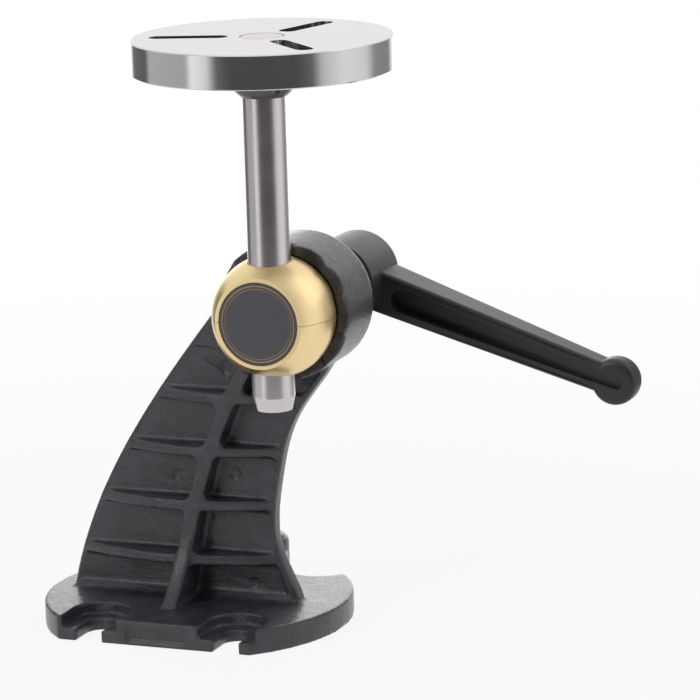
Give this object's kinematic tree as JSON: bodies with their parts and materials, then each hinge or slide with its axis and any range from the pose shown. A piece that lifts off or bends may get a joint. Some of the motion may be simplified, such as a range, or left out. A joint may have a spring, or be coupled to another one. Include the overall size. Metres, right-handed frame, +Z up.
{
  "type": "carving vise",
  "caption": "Bench carving vise: cast stand, brass ball in a notched cup, steel post with slotted faceplate, and a lever at the back that locks ball and post.",
  "frame": {"origin": "middle of the base's round underside, on the bench", "axes": "+Z up along the post at rest, -Y the side the badge and ball face, +X the side the ball and lever stand out to"},
  "size_m": [0.2602, 0.1746, 0.2722],
  "materials": {
    "cast_black": "black powder coat on an iron casting, fine cast texture",
    "lever_black": "smooth satin black coat on a die casting",
    "turned_steel": "turned and fine-faced steel",
    "ground_steel": "ground round bar",
    "polished_brass": "satin polished brass",
    "badge_grey": "dark grey enamel on a thin disc",
    "plain_steel": "machined steel, inside"
  },
  "bodies": {
    "stand": {"vise_body": "cast_black", "thrust_washer": "plain_steel"},
    "swivel": {"drawbar": "plain_steel"},
    "ball": {"ball_upper_half": "polished_brass", "ball_lower_half": "polished_brass", "ball_dowels": "plain_steel", "badge_disc": "badge_grey"},
    "post": {"work_post": "ground_steel"},
    "plate": {"faceplate": "turned_steel"},
    "nut": {"lever_nut": "plain_steel", "lever_screw": "plain_steel", "lever_spring": "plain_steel"},
    "lever": {"lever_handle": "lever_black"}
  },
  "joints": [
    {"name": "ball_roll", "type": "hinge", "parent": "stand", "child": "swivel", "pos_m": [0.052, -0.025, 0.148], "axis": [0, 1, 0], "range_deg": [-90, 120]},
    {"name": "ball_tilt", "type": "hinge", "parent": "swivel", "child": "ball", "pos_m": [0.052, -0.025, 0.148], "axis": [1, 0, 0], "range_deg": [-7, 7]},
    {"name": "post_slide", "type": "slide", "parent": "ball", "child": "post", "axis": [0, 0, 1], "range_m": [-0.03, 0.012]},
    {"name": "plate_spin", "type": "hinge", "parent": "post", "child": "plate", "pos_m": [0.052, -0.0279, 0.2722], "axis": [0, 0, 1], "continuous": true},
    {"name": "lever_turn", "type": "hinge", "parent": "stand", "child": "nut", "pos_m": [0.052, 0.05, 0.148], "axis": [0, 1, 0], "range_deg": [-60, 40]},
    {"name": "lever_pull", "type": "slide", "parent": "nut", "child": "lever", "axis": [0, 1, 0], "range_m": [0, 0.0065], "stiffness_N_per_m": 2500, "springref_m": -0.004, "deforming": ["lever_spring"]}
  ]
}
